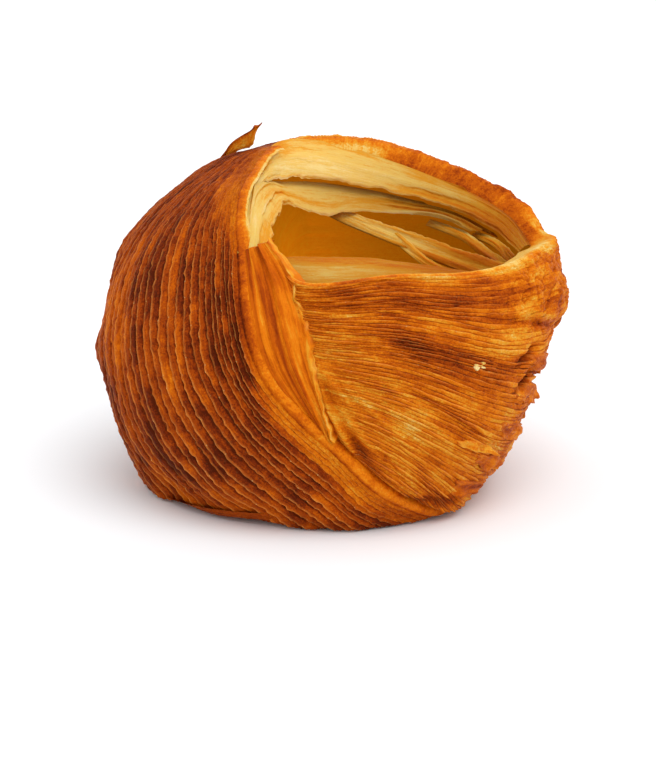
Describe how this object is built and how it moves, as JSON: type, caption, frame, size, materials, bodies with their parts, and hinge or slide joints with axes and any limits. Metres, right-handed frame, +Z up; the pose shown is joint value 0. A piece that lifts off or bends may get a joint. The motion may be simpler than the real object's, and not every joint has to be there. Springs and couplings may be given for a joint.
{
  "type": "danish pastry",
  "caption": "Laminated Danish pastry: a wide strip of flaky, golden-brown ridged dough wound round into a hollow ball, open at the top, with pale baked layers and thin webs inside.",
  "frame": {"origin": "centre of the bounding box in plan, on the surface that the pastry rests on", "axes": "+Z up, +X to the right when facing the fan of ridges, -Y towards the viewer facing it; the broad ridged band lies on the -X side"},
  "size_m": [0.114, 0.1024, 0.0856],
  "materials": {
    "baked_dough": "baked laminated dough: satin brown crust on the ridges, matt cream crumb inside"
  },
  "bodies": {
    "root": {"pastry": "baked_dough"}
  },
  "joints": []
}
